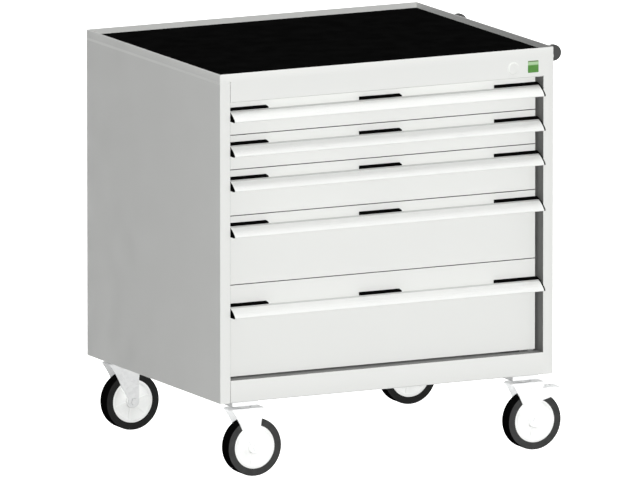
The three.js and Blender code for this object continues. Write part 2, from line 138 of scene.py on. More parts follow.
def make_sun(name, azimuth, elevation, strength, angle=10, shadow=False):
    """A soft distant light. Azimuth 0 is in front of the drawers, and gloss doesn't mirror it."""
    data = bpy.data.lights.new(name, "SUN")
    data.energy = strength
    data.use_shadow = shadow
    data.angle = math.radians(angle)
    lamp = bpy.data.objects.new(name, data)
    lamp.visible_glossy = False
    a, e = math.radians(azimuth), math.radians(elevation)
    towards = Vector((math.sin(a) * math.cos(e), -math.cos(a) * math.cos(e), math.sin(e)))
    lamp.rotation_mode = "QUATERNION"
    lamp.rotation_quaternion = towards.to_track_quat("Z", "Y")
    bpy.context.scene.collection.objects.link(lamp)


def make_studio():
    """A white studio: three shadowless suns and one overhead, a pale floor, and a surround that
    is white to look at but lights surfaces only weakly."""
    scene = bpy.context.scene
    scene.view_settings.view_transform = "Standard"
    world = bpy.data.worlds.new("studio")
    world.use_nodes = True
    scene.world = world
    tree = world.node_tree
    background = tree.nodes["Background"]
    # Diffuse Depth is 0 where the surround is seen or mirrored, and 1 or more where it gives light.
    path = tree.nodes.new("ShaderNodeLightPath")
    strength = tree.nodes.new("ShaderNodeMapRange")
    tree.links.new(path.outputs["Diffuse Depth"], strength.inputs["Value"])
    strength.inputs["To Min"].default_value = 1.0
    strength.inputs["To Max"].default_value = SURROUND_LIGHT
    tree.links.new(strength.outputs["Result"], background.inputs["Strength"])
    background.inputs["Color"].default_value = (1, 1, 1, 1)
    make_sun("key", -3, 22, 2.55)
    make_sun("side", -90, 5, 0.455)
    make_sun("back", 140, 12, 1.0)
    make_sun("overhead", 0, 84, 0.9, angle=20, shadow=True)

    bpy.ops.mesh.primitive_grid_add(x_subdivisions=2, y_subdivisions=2, size=40)
    floor = bpy.context.object
    floor.name = "floor"
    floor.data.materials.append(floor_material())
    floor.visible_diffuse = False


# ---------------------------------------------------------------- materials

class Tree:
    """Short names for adding and joining a material's nodes."""

    def __init__(self, name):
        self.material = bpy.data.materials.new(name)
        self.material.use_nodes = True
        self.nodes = self.material.node_tree.nodes
        self.links = self.material.node_tree.links
        self.shader = self.nodes["Principled BSDF"]
        self.place = self.nodes.new("ShaderNodeTexCoord").outputs["Object"]

    def feed(self, socket, value):
        """Links an input to another node's output, or sets it to a plain value."""
        if isinstance(value, bpy.types.NodeSocket):
            self.links.new(value, socket)
        else:
            socket.default_value = value

    def add(self, kind, inputs=(), **settings):
        """A new node, with its inputs by name or number and its settings by name."""
        node = self.nodes.new("ShaderNode" + kind)
        for key, value in settings.items():
            setattr(node, key, value)
        for key, value in dict(inputs).items():
            self.feed(node.inputs[key], value)
        return node

    def stretched(self, scale):
        """The place on the object, scaled differently along x, y and z."""
        return self.add("Mapping", {"Vector": self.place, "Scale": scale}).outputs["Vector"]

    def noise(self, scale, detail=3.0, vector=None):
        """Soft noise, mostly between 0.3 and 0.7."""
        inputs = {"Vector": vector or self.place, "Scale": scale, "Detail": detail}
        return self.add("TexNoise", inputs).outputs["Fac"]

    def spread(self, value, low, high, span=(0.3, 0.7)):
        """Maps the span of a value to low .. high, clamped."""
        inputs = {"Value": value, "From Min": span[0], "From Max": span[1], "To Min": low, "To Max": high}
        return self.add("MapRange", inputs).outputs["Result"]

    def blend(self, share, first, second):
        """The first colour at share 0 and the second at share 1."""
        return self.add("Mix", {0: share, 6: first, 7: second}, data_type="RGBA").outputs[2]

    def product(self, first, second):
        """The product of two numbers."""
        return self.add("Math", {0: first, 1: second}, operation="MULTIPLY").outputs["Value"]

    def edges(self, width, noise_scale=260):
        """1 along the sharp edges, broken up by noise, and 0 on the flats."""
        rounded = self.add("Bevel", {"Radius": width}, samples=4).outputs["Normal"]
        flat = self.add("NewGeometry").outputs["Normal"]
        likeness = self.add("VectorMath", {0: rounded, 1: flat}, operation="DOT_PRODUCT").outputs["Value"]
        edge = self.spread(likeness, 1.0, 0.0, (0.86, 0.985))
        broken = self.spread(self.noise(noise_scale, 4), 0.0, 1.0, (0.42, 0.62))
        return self.product(edge, broken)

    def finish(self, colour, rough, bumps=(), metallic=0.0, specular=0.5):
        """Joins everything to the shader. Bumps is a list of (height socket, depth in metres)."""
        sockets = self.shader.inputs
        self.feed(sockets["Base Color"], colour)
        self.feed(sockets["Roughness"], rough)
        sockets["Metallic"].default_value = metallic
        sockets["Specular IOR Level"].default_value = specular
        normal = None
        for height, depth in bumps:
            node = self.add("Bump", {"Height": height, "Distance": depth, "Strength": 1.0})
            if normal:
                self.links.new(normal, node.inputs["Normal"])
            normal = node.outputs["Normal"]
        if normal:
            self.links.new(normal, sockets["Normal"])
        return self.material


def grey(value, warm=0.985):
    """A faintly green grey, with its blue scaled by warm."""
    return (value, value * 1.01, value * warm, 1.0)


def floor_material():
    """Pale, faintly mottled floor that is lifted to the white of the studio."""
    t = Tree("pale_floor")
    mottle = t.spread(t.noise(1.4), 0.0, 1.0)
    colour = t.blend(mottle, grey(0.90, 1.0), grey(0.94, 1.0))
    material = t.finish(colour, 0.9, specular=0.05)
    t.shader.inputs["Emission Color"].default_value = (1, 1, 1, 1)
    t.shader.inputs["Emission Strength"].default_value = 0.95
    return material


def powder_coat(name, value, worn=0.5, shaded_until=None):
    """Light powder coat: a fine orange peel, faint clouding, and edges rubbed a little brighter.
    Upward faces in front of a given y, in metres, get painted shade: they are painted dark."""
    t = Tree(name)
    cloud = t.spread(t.noise(3.2, 4), 0.0, 1.0)
    speck = t.spread(t.noise(900, 2), 0.0, 1.0, (0.25, 0.75))
    coat = t.blend(cloud, grey(value * 0.994), grey(value * 1.004))
    coat = t.blend(t.product(speck, 0.25), coat, grey(value * 0.94))
    rub = t.product(t.edges(0.0011), worn)
    colour = t.blend(rub, coat, grey(min(1.0, value * 1.08)))
    # painted shade: upward faces near the front, seen through the gaps between drawers, are painted dark
    if shaded_until is not None:
        normal = t.add("SeparateXYZ", {"Vector": t.add("NewGeometry").outputs["Normal"]}).outputs["Z"]
        depth = t.add("SeparateXYZ", {"Vector": t.place}).outputs["Y"]
        upward = t.spread(normal, 0.0, 1.0, (0.6, 0.8))
        front = t.spread(depth, 1.0, 0.0, (shaded_until - 0.0005, shaded_until))
        colour = t.blend(t.product(upward, front), colour, grey(0.08))
    rough = t.spread(t.noise(14, 5), 0.40, 0.52)
    peel = t.noise(1300, 2)
    return t.finish(colour, rough, [(peel, 0.00004)], specular=0.35)


def ribbed_rubber(name, value):
    """Black matting with fine ribs from front to back and a dusty sheen."""
    t = Tree(name)
    ribs = t.add("TexWave", {"Vector": t.place, "Scale": 100.0, "Distortion": 0.0},
                 wave_type="BANDS", bands_direction="X", wave_profile="SIN").outputs["Fac"]
    dust = t.spread(t.noise(22, 6), 0.0, 1.0, (0.35, 0.75))
    colour = t.blend(dust, grey(value, 1.0), grey(value * 1.7, 1.0))
    rough = t.spread(t.noise(60, 4), 0.82, 0.95)
    grain = t.noise(1600, 2)
    return t.finish(colour, rough, [(ribs, 0.00035), (grain, 0.00005)], specular=0.0)


def drawn_aluminium(name, value):
    """Pale satin aluminium with fine die lines along x."""
    t = Tree(name)
    lines = t.noise(30, 5, t.stretched((0.6, 120, 120)))
    dull, bright = grey(value * 0.97, 0.99), grey(min(value * 1.02, 1.0), 0.99)
    colour = t.blend(t.spread(lines, 0.0, 1.0), dull, bright)
    smudge = t.spread(t.noise(9, 4), 0.0, 0.06)
    rough = t.add("Math", {0: t.spread(lines, 0.22, 0.36), 1: smudge}, operation="ADD").outputs[0]
    return t.finish(colour, rough, [(lines, 0.00002)], metallic=0.1)


def moulded(name, value, rough=(0.45, 0.6), specular=0.4, grain=1100, depth=0.00005, warm=1.0, worn=0.3):
    """Moulded plastic: a fine spark-eroded grain, slight scuffing on the edges."""
    t = Tree(name)
    cloud = t.spread(t.noise(18, 4), 0.0, 1.0)
    base = t.blend(cloud, grey(value * 0.92, warm), grey(value * 1.06, warm))
    rub = t.product(t.edges(0.0008, 500), worn)
    colour = t.blend(rub, base, grey(min(1.0, value * 1.25 + 0.01), warm))
    return t.finish(colour, t.spread(t.noise(70, 4), *rough), [(t.noise(grain, 2), depth)], specular=specular)


def plated(name, value, rough=(0.24, 0.4), metallic=0.85, warm=1.01):
    """Zinc plate: soft spangle, brush marks and a varied sheen."""
    t = Tree(name)
    spangle = t.add("TexVoronoi", {"Vector": t.place, "Scale": 160.0}).outputs["Color"]
    shade = t.add("SeparateColor", {"Color": spangle}).outputs["Red"]
    colour = t.blend(shade, grey(value * 0.93, warm), grey(min(value * 1.03, 1.0), warm))
    brushed = t.noise(40, 5, t.stretched((1, 1, 40)))
    return t.finish(colour, t.spread(brushed, *rough), [(brushed, 0.00002)], metallic=metallic)


def tyre_rubber(name, value, grain, specular):
    """Solid tyre: dusty rubber with a slightly uneven, moulded skin."""
    t = Tree(name)
    dust = t.spread(t.noise(90, 6), 0.0, 1.0, (0.35, 0.7))
    colour = t.blend(dust, grey(value * 0.88, 1.0), grey(value * 1.12, 1.0))
    skin = t.noise(grain, 3)
    return t.finish(colour, t.spread(t.noise(45, 4), 0.7, 0.88), [(skin, 0.00008)], specular=specular)


def badge_material():
    """A plain plate with a soft sheen: a dark line, a pale band and green below."""
    t = Tree("badge_enamel")
    height = t.add("SeparateXYZ", {"Vector": t.place}).outputs["Z"]
    split, head = BADGE_GREEN_TOP * MM, BADGE_LINE_BOTTOM * MM
    lower = t.spread(height, 1.0, 0.0, (split - 0.0012, split + 0.0012))
    upper = t.spread(height, 0.0, 1.0, (head - 0.0004, head + 0.0004))
    wave = t.spread(t.noise(300, 3), 0.0, 1.0)
    green = t.blend(wave, (0.056, 0.205, 0.024, 1), (0.078, 0.255, 0.036, 1))
    pale = t.blend(upper, (0.40, 0.58, 0.34, 1), (0.12, 0.20, 0.08, 1))
    colour = t.blend(lower, pale, green)
    return t.finish(colour, t.spread(t.noise(120), 0.3, 0.42), [(t.noise(700, 2), 0.00003)], specular=0.4)


PAINT = powder_coat("painted_steel", 0.80)
# painted highlight: a lighter paint on the side sheets' top bend, for the light the bend catches
BEND_HIGHLIGHT = powder_coat("painted_steel_bend_highlight", 0.90)
# painted shade: a darker paint on the tray rim's inner faces, for the shade above the mat
RIM_INSIDE_SHADE = powder_coat("painted_steel_rim_shade", 0.56)
# painted shade: a dark paint on the faces inside the housing, for the shade seen through the gaps
INNER_SHADE = powder_coat("painted_steel_inner_shade", 0.136, 0.2)
# painted shade: a dark paint on the base's upward faces, for the shade inside the housing
INNER_BASE_SHADE = powder_coat("painted_steel_base_shade", 0.16, 0.2)
# painted shade on the upward faces at the front of the drawers
DRAWER = powder_coat("painted_steel_drawer", 0.82, shaded_until=HOUSING.y + FOLD_REAR * MM)
MAT = ribbed_rubber("rubber_mat", 0.003)
GRIP = drawn_aluminium("grip_aluminium", 0.84)
# painted shade: darker copies of the grip's aluminium for its back and its undersides
GRIP_BACK_SHADE = drawn_aluminium("grip_aluminium_back_shade", 0.60)
GRIP_UNDER_SHADE = drawn_aluminium("grip_aluminium_under_shade", 0.25)
BLACK = moulded("black_plastic", 0.0025, specular=0.0)
BAR_END = moulded("bar_end_plastic", 0.055, specular=0.25)
ZINC = plated("zinc_steel", 0.72)
CASTOR = plated("castor_zinc", 0.98, (0.3, 0.45), 0.15)
# painted shade: darker copies for the rear castors, for the shade of the housing over them
CASTOR_REAR_SHADE = plated("castor_zinc_rear_shade", 0.66, (0.3, 0.45), 0.15)
# painted shade: a darker copy for the castor heads' race, pin and -x side
CASTOR_HEAD_SHADE = plated("castor_head_zinc_shade", 0.54, (0.3, 0.45), 0.15)
LOCK = powder_coat("lock_enamel", 0.80)
RIM = moulded("wheel_plastic", 0.97, (0.4, 0.55), 0.5, warm=0.995)
# painted shade on the rear wheels' centres
RIM_REAR_SHADE = moulded("wheel_plastic_rear_shade", 0.80, (0.4, 0.55), 0.5, warm=0.995)
TYRE = tyre_rubber("tyre_side", 0.054, 700, 0.05)
# painted shade on the rear tyres
TYRE_REAR_SHADE = tyre_rubber("tyre_side_rear_shade", 0.019, 700, 0.03)
TREAD = tyre_rubber("tyre_tread", 0.004, 500, 0.0)
BADGE = badge_material()


# ---------------------------------------------------------------- mesh helpers

def arc(centre, radius, start, end, steps=8):
    """Points of an arc, angles in degrees."""
    found = []
    for i in range(steps + 1):
        a = math.radians(start + (end - start) * i / steps)
        found.append((centre[0] + radius * math.cos(a), centre[1] + radius * math.sin(a)))
    return found


def circle(centre, radius, corners):
    """The corners of a regular polygon, which stands for a circle when it has many."""
    return arc(centre, radius, 0, 360 - 360 / corners, corners - 1)


def curve(start, bend, end, steps=16):
    """Points of a quadratic curve."""
    found = []
    for i in range(steps + 1):
        t = i / steps
        weights = ((1 - t) ** 2, 2 * t * (1 - t), t ** 2)
        found.append(tuple(sum(w * p[k] for w, p in zip(weights, (start, bend, end))) for k in (0, 1)))
    return found


def along(axis, u, v, w):
    """A point with w along the axis and (u, v) across it."""
    return {"x": (w, u, v), "y": (u, w, v), "z": (u, v, w)}[axis]


def add_prism(bm, outline, axis, start, end):
    """Extrudes a closed outline. Outline points are (y, z), (x, z) or (x, y) for axes x, y, z."""
    rings = [[bm.verts.new(along(axis, u, v, w)) for u, v in outline] for w in (start, end)]
    bm.faces.new(rings[0])
    bm.faces.new(list(reversed(rings[1])))
    count = len(outline)
    for i in range(count):
        j = (i + 1) % count
        bm.faces.new((rings[0][i], rings[1][i], rings[1][j], rings[0][j]))


def add_lathe(bm, profile, axis, centre, segments=72):
    """Turns (radius, along) points about an axis through centre, a point across that axis.
    A profile that starts or ends on the axis is closed there, and any other is a ring."""
    rings = []
    for radius, w in profile:
        if radius < 1e-6:
            rings.append([bm.verts.new(along(axis, centre[0], centre[1], w))])
            continue
        ring = []
        for i in range(segments):
            a = 2 * math.pi * i / segments
            u, v = centre[0] + radius * math.cos(a), centre[1] + radius * math.sin(a)
            ring.append(bm.verts.new(along(axis, u, v, w)))
        rings.append(ring)
    pairs = list(zip(rings, rings[1:]))
    if len(rings[0]) > 1 and len(rings[-1]) > 1:
        pairs.append((rings[-1], rings[0]))
    for first, second in pairs:
        for i in range(segments):
            j = (i + 1) % segments
            corners = [first[i % len(first)], first[j % len(first)]]
            corners += [second[j % len(second)], second[i % len(second)]]
            bm.faces.new(list(dict.fromkeys(corners)))


def rounded_rectangle(half_x, half_y, radius, steps=5, centre=(0, 0)):
    """Points of a rectangle with round corners, anticlockwise."""
    points = []
    for start, sx, sy in ((0, 1, 1), (90, -1, 1), (180, -1, -1), (270, 1, -1)):
        corner = (centre[0] + sx * (half_x - radius), centre[1] + sy * (half_y - radius))
        points += arc(corner, radius, start, start + 90, steps)
    return points


def add_stack(bm, rings, axis="z"):
    """Joins equal rings [(points, w), ...] with walls and closes the first and last."""
    made = [[bm.verts.new(along(axis, u, v, w)) for u, v in points] for points, w in rings]
    bm.faces.new(made[0])
    bm.faces.new(list(reversed(made[-1])))
    for first, second in zip(made, made[1:]):
        for i in range(len(first)):
            j = (i + 1) % len(first)
            bm.faces.new((first[i], second[i], second[j], first[j]))


def add_plate(bm, outline, holes, axis, start, end):
    """A flat plate with holes. Outline and holes are lists of points."""
    data = bpy.data.curves.new("plate", "CURVE")
    data.dimensions = "2D"
    data.fill_mode = "BOTH"
    data.extrude = abs(end - start) / 2
    for points in (outline, *holes):
        spline = data.splines.new("POLY")
        spline.points.add(len(points) - 1)
        for point, (u, v) in zip(spline.points, points):
            point.co = (u, v, 0, 1)
        spline.use_cyclic_u = True
    holder = bpy.data.objects.new("plate", data)
    mesh = bpy.data.meshes.new_from_object(holder)
    turned = bmesh.new()
    turned.from_mesh(mesh)
    for vert in turned.verts:
        vert.co = along(axis, vert.co.x, vert.co.y, (start + end) / 2 + vert.co.z)
    bmesh.ops.remove_doubles(turned, verts=turned.verts, dist=0.001)
    turned.to_mesh(mesh)
    turned.free()
    bm.from_mesh(mesh)
    bpy.data.objects.remove(holder)
    bpy.data.curves.remove(data)
    bpy.data.meshes.remove(mesh)


def make_piece(name, body, materials, bm, replaces=(), bevel=0.0, pick=None, sharp=32, move=(0, 0, 0)):
    """Turns a mesh in millimetres into a piece that rides on a body. Edges that bend by more than
    sharp degrees stay sharp, and pick(face) gives the number of a face's material."""
    bmesh.ops.recalc_face_normals(bm, faces=bm.faces)
    bm.normal_update()
    for face in bm.faces:
        face.smooth = True
        face.material_index = pick(face) if pick else 0
    for edge in bm.edges:
        if len(edge.link_faces) != 2 or edge.calc_face_angle(0.0) > math.radians(sharp):
            edge.smooth = False
    place = Matrix.Translation(HOUSING) @ Matrix.Scale(MM, 4) @ Matrix.Translation(Vector(move))
    bm.transform(place)
    mesh = bpy.data.meshes.new(name)
    bm.to_mesh(mesh)
    bm.free()
    for material in materials if isinstance(materials, (list, tuple)) else (materials,):
        mesh.materials.append(material)
    piece = bpy.data.objects.new(name, mesh)
    bpy.context.scene.collection.objects.link(piece)
    if bevel:
        add_bevel(piece, bevel)
    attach(piece, body)
    if replaces:
        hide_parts(*replaces)


def add_bevel(piece, width):
    modifier = piece.modifiers.new("edge", "BEVEL")
    modifier.width = width * MM
    modifier.segments = 2
    modifier.limit_method = "ANGLE"
    modifier.angle_limit = math.radians(40)
    modifier.harden_normals = False
    modifier.use_clamp_overlap = True


def keep_node(name, material, bevel):
    """A CAD node that is right as it is: a finish and a small edge radius."""
    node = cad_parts[name]
    node.data.materials.clear()
    node.data.materials.append(material)
    add_bevel(node, bevel)


# ---------------------------------------------------------------- housing

def bent_section(side, path, radius, thickness):
    """A closed section of bent sheet from a path of corners, outside first, with rounded bends."""
    outer, inner = [path[0]], []
    steps = 5
    short = max(radius - thickness, 0.3)
    for before, here, after in zip(path, path[1:], path[2:]):
        corner = Vector(here)
        d0, d1 = (corner - Vector(before)).normalized(), (Vector(after) - corner).normalized()
        for step in range(steps + 1):
            a = step / steps * math.pi / 2
            centre = corner - d0 * radius + d1 * radius
            outer.append(tuple(centre - d1 * radius * math.cos(a) + d0 * radius * math.sin(a)))
            middle = corner - d0 * (thickness + short) + d1 * (thickness + short)
            inner.append(tuple(middle - d1 * short * math.cos(a) + d0 * short * math.sin(a)))
    outer.append(path[-1])
    first = Vector(path[1]) - Vector(path[0])
    last = Vector(path[-1]) - Vector(path[-2])
    turn_in = Vector((-first.y, first.x)).normalized()
    turn_out = Vector((-last.y, last.x)).normalized()
    inner.insert(0, tuple(Vector(path[0]) + turn_in * thickness))
    inner.append(tuple(Vector(path[-1]) + turn_out * thickness))
    section = outer + list(reversed(inner))
    return [(side * x, y) for x, y in section]


def make_side(place, side):
    """A side sheet folded round the front post, with a slight bend along its top. The outer face of the bend
    is painted lighter as a painted highlight, and the inward faces are painted dark as painted shade.
    """
    bm = bmesh.new()
    top = PANEL_TOP - 5.0
    inside = HALF_WIDTH - SHEET
    flange = HALF_WIDTH - 16
    path = [(OPENING, FRONT + 45), (OPENING, FRONT), (HALF_WIDTH, FRONT), (HALF_WIDTH, HALF_DEPTH)]
    path.append((HALF_WIDTH - 20, HALF_DEPTH))
    add_prism(bm, bent_section(side, path, POST_BEND, SHEET), "z", BODY_BOTTOM, top)
    lean = [(HALF_WIDTH, top), (HALF_WIDTH - 0.3, LIP_BOTTOM)]
    fold = lean + [(inside, LIP_BOTTOM), (inside, PANEL_TOP), (flange, PANEL_TOP)]
    fold += [(flange, PANEL_TOP - SHEET), (inside, PANEL_TOP - SHEET), (inside, top)]
    add_prism(bm, [(side * x, z) for x, z in fold], "y", FRONT + 1.4, HALF_DEPTH - 0.6)
    post = lean + [(OPENING + POST_BEND, LIP_BOTTOM), (OPENING + POST_BEND, top)]
    add_prism(bm, [(side * x, z) for x, z in post], "y", FRONT, FRONT + SHEET)

    # painted shade on the inward faces, painted highlight on the outer face of the top bend
    def pick(face):
        outward = face.normal.x * side
        if outward < -0.7:
            return 1
        return 2 if outward > 0.7 and face.calc_center_median().z > top else 0

    name = f"side_panel_{place}"
    coats = (PAINT, INNER_SHADE, BEND_HIGHLIGHT)
    make_piece(f"side_sheet_{place}", "cabinet", coats, bm, (name,), pick=pick)


def make_back():
    """The back sheet and the rivets that hold it to the side flanges. Its inward face is painted dark as
    painted shade.
    """
    bm = bmesh.new()
    low, high = node_box("back_panel")
    middle, half_z = (low.z + high.z) / 2, (high.z - low.z) / 2

    def ring(inset, y):
        return rounded_rectangle(high.x - inset, half_z - inset, 2.0, centre=(0, middle)), y

    add_stack(bm, [ring(0.4, high.y), ring(0, high.y - 0.4), ring(0, low.y)], "y")
    rivets = 7
    dome = [(0, 1.6), (1.6, 1.4), (3.0, 0.6), (3.3, -0.4), (0, -0.4)]
    for side in (-1, 1):
        for k in range(rivets):
            centre = (side * (HALF_WIDTH - 10), BODY_BOTTOM + 40 + (half_z * 2 - 80) * k / (rivets - 1))
            add_lathe(bm, [(r, HALF_DEPTH + y) for r, y in dome], "y", centre, 24)

    # painted shade on the inward face
    def pick(face):
        return 1 if face.normal.y < -0.7 else 0

    coats = (PAINT, INNER_SHADE)
    make_piece("back_sheet", "cabinet", coats, bm, ("back_panel",), pick=pick)


def make_base():
    """The floor sheet with the box-shaped bottom rail at its front. Its upward faces are painted dark as
    painted shade.
    """
    bm = bmesh.new()
    low = BODY_BOTTOM
    inner = FRONT + SHEET
    rail_rear = FRONT + 29
    foot_rear = FRONT + 47
    bend, lip = 2.4, 1.0
    section = arc((FRONT + bend, low + bend), bend, 180, 270, 5)
    section += [(foot_rear, low), (foot_rear, low + SHEET), (inner, low + SHEET)]
    section += [(inner, RAIL_TOP - SHEET), (rail_rear - SHEET, RAIL_TOP - SHEET)]
    section += [(rail_rear - SHEET, low + 2), (rail_rear, low + 2), (rail_rear, RAIL_TOP)]
    section += arc((FRONT + lip, RAIL_TOP - lip), lip, 90, 180, 4)
    add_prism(bm, section, "x", -OPENING, OPENING)
    joint = [(FRONT, low + bend), (FRONT, RAIL_TOP - lip), (inner, RAIL_TOP - lip), (inner, low + bend)]
    add_prism(bm, joint, "x", OPENING, OPENING + POST_BEND)
    edge = HALF_WIDTH - SHEET - 0.3
    front, rear = FRONT + 45.3, HALF_DEPTH - SHEET - 0.3
    add_prism(bm, [(-edge, front), (edge, front), (edge, rear), (-edge, rear)], "z", low, low + SHEET)

    # painted shade on the upward faces
    def pick(face):
        return 1 if face.normal.z > 0.7 else 0

    coats = (PAINT, INNER_BASE_SHADE)
    make_piece("base_sheet", "cabinet", coats, bm, ("base_pan",), pick=pick)


def make_tray():
    """The tray rim: a sheet edge on end all round, with rounded corners. Its front and rear have
    painted shade on the inside: a darker paint on the inner faces."""
    bm = bmesh.new()
    corner = 2.2

    def ring(inset, z):
        return rounded_rectangle(HALF_WIDTH - inset, HALF_DEPTH - inset, max(corner - inset, 0.4)), z

    add_stack(bm, [
        ring(0, LIP_BOTTOM), ring(0, RIM_TOP - 0.7), ring(0.2, RIM_TOP - 0.2), ring(0.7, RIM_TOP),
        ring(1.1, RIM_TOP - 0.1), ring(1.5, RIM_TOP - 0.6), ring(1.5, LIP_BOTTOM + 1.2),
    ])

    # painted shade on the inward faces of the front and rear
    def pick(face):
        outward = math.copysign(1, face.calc_center_median().y)
        return 1 if face.normal.y * outward < -0.6 else 0

    coats = (PAINT, RIM_INSIDE_SHADE)
    make_piece("top_tray_sheet", "cabinet", coats, bm, ("top_tray",), pick=pick)


def make_mat():
    """The rubber mat in the tray, its upper edge softened."""
    bm = bmesh.new()
    low, high = node_box("rubber_mat")

    def ring(inset, z):
        return rounded_rectangle(high.x - inset, high.y - inset, 2.0), z

    add_stack(bm, [ring(0, low.z), ring(0, high.z - 0.5), ring(0.5, high.z)])
    make_piece("mat_sheet", "cabinet", MAT, bm, ("rubber_mat",))


def lock_centre():
    """The (x, z) of the lock's axis, 11 below the top of its round head."""
    low, high = node_box("lock_cylinder")
    return (low.x + high.x) / 2, high.z - 11


def make_top_rail():
    """The top rail: a face with the lock's hole, a bend below it and two shelves behind."""
    bm = bmesh.new()
    half = OPENING - 0.3
    right = OPENING + POST_BEND
    low, high = node_box("top_rail")
    bend = 2.2
    face = [(-OPENING, low.z + bend), (right, low.z + bend), (right, LIP_BOTTOM), (-OPENING, LIP_BOTTOM)]
    lower_edge = arc((FRONT + bend, low.z + bend), bend, 180, 270, 5)
    lower_edge += [(FRONT + bend, low.z + SHEET), (FRONT + SHEET, low.z + bend)]
    add_prism(bm, lower_edge, "x", -OPENING, OPENING)
    hole = circle(lock_centre(), 9.2, 48)[::-1]
    add_plate(bm, face, [hole], "y", FRONT, FRONT + SHEET)
    for z in (low.z, high.z - SHEET):
        shelf = [(FRONT + SHEET, z), (high.y, z), (high.y, z + SHEET), (FRONT + SHEET, z + SHEET)]
        add_prism(bm, shelf, "x", -half, half)
    make_piece("top_rail_sheet", "cabinet", PAINT, bm, ("top_rail",))


def make_badge():
    """A small plain plate on the top rail."""
    bm = bmesh.new()

    def ring(inset, y):
        half_x, half_z = BADGE_HALF
        return rounded_rectangle(half_x - inset, half_z - inset, 1.6, centre=BADGE_CENTRE), y

    add_stack(bm, [ring(0, FRONT - 0.02), ring(0, FRONT - 0.7), ring(0.5, FRONT - 1.0)], "y")
    make_piece("badge_plate", "cabinet", BADGE, bm)


def make_lock_ring():
    """The fixed ring round the lock's head."""
    bm = bmesh.new()
    ring = [(9.6, -0.05), (13.0, -0.05), (13.2, -0.5), (12.2, -1.5), (11.4, -1.6), (11.3, -0.6), (9.6, -0.5)]
    add_lathe(bm, [(r, FRONT + y) for r, y in ring], "y", lock_centre())
    make_piece("lock_ring", "cabinet", LOCK, bm)


def make_lock_barrel():
    """The part of the lock that turns: a head with a shallow keyway, a plug and a cam."""
    centre = lock_centre()
    x, z = centre
    head_back = -1.9
    bm = bmesh.new()
    keyway = rounded_rectangle(0.9, 4.2, 0.4, 3, centre)[::-1]
    add_plate(bm, circle(centre, 10.8, 72), [keyway], "y", FRONT - 2.4, FRONT + head_back)
    plug = [(0, head_back), (8.3, head_back), (8.5, head_back + 0.5), (8.5, 17), (0, 17)]
    add_lathe(bm, [(r, FRONT + y) for r, y in plug], "y", centre)
    cam = [(x - 5, z - 13), (x + 5, z - 13), (x + 5, z + 6), (x - 5, z + 6)]
    add_prism(bm, cam, "y", FRONT + 15, FRONT + 18)
    make_piece("lock_barrel", "lock", LOCK, bm, ("lock_cylinder",), bevel=0.3)


def tube_centre():
    """The (x, z) of the push bar's axis."""
    low, high = node_box("push_tube")
    return (low.x + high.x) / 2, (low.z + high.z) / 2


def make_tube():
    """The painted tube of the push bar."""
    start, end = (corner.y for corner in node_box("push_tube"))
    bm = bmesh.new()
    profile = [(0, start), (TUBE_RADIUS, start), (TUBE_RADIUS, end), (0, end)]
    add_lathe(bm, profile, "y", tube_centre())
    make_piece("push_bar_tube", "cabinet", PAINT, bm, ("push_tube",))


def make_bar_end(place, side):
    """A moulded end of the push bar: a round cap, a neck over the tube, an arm to the side panel."""
    x, z = tube_centre()
    outer = node_box("push_bracket_rear")[1].y
    step, inner = outer - BAR_CAP_DEPTH, outer - BAR_END_DEPTH
    cap, neck, bore = BAR_CAP_RADIUS, BAR_NECK_RADIUS, TUBE_RADIUS + 0.2
    profile = [(0, outer), (cap - 3.2, outer), (cap - 0.9, outer - 0.8), (cap, outer - 3)]
    profile += [(cap, step + 2.5), (cap - 0.7, step + 0.6), (neck, step), (neck, inner + 0.8)]
    profile += [(neck - 0.8, inner), (bore, inner), (bore, step - 1), (0, step - 1)]
    bm = bmesh.new()
    add_lathe(bm, [(r, side * w) for r, w in profile], "y", (x, z))
    foot = HALF_WIDTH + 0.3
    arm = [(foot, outer - 2), (foot, inner - 7), (foot + 4.7, inner - 8), (foot + 8.7, inner - 6)]
    arm += curve((foot + 8.7, inner - 6), (foot + 15.7, inner + 2), (foot + 27.7, inner + 2), 6)[1:]
    arm += [(x - TUBE_RADIUS, inner + 2), (x - TUBE_RADIUS, outer - 2)]
    middle = (inner + outer) / 2 - 4
    rings = []
    for inset, w in ((1.2, -14), (0, -12.6), (0, 12.6), (1.2, 14)):
        shrink = 1 - inset / 16
        rings.append(([(u, side * (middle + (v - middle) * shrink)) for u, v in arm], z + w))
    add_stack(bm, rings)
    name = f"push_bracket_{place}"
    make_piece(f"{name}_moulding", "cabinet", BAR_END, bm, (name,))


# ---------------------------------------------------------------- drawers

def make_hem(number):
    """The rolled hem round the open top of a drawer's tub."""
    low, high = node_box(f"drawer_{number}")
    middle = high.z - TUB_DROP
    radius = 1.5
    bm = bmesh.new()
    for side in (-1, 1):
        add_prism(bm, circle((side * TUB_HALF, middle), radius, 24), "y", low.y + 14, high.y - 1)
    add_prism(bm, circle((high.y - 0.8, middle), radius, 24), "x", -TUB_HALF, TUB_HALF)
    make_piece(f"drawer_hem_{number}", f"drawer_{number}", PAINT, bm)


def handle_point(outward, up):
    """A point (y, z) from its distance out of the drawer front and its height from the handle's top."""
    return (DRAWER_FACE - outward, up)


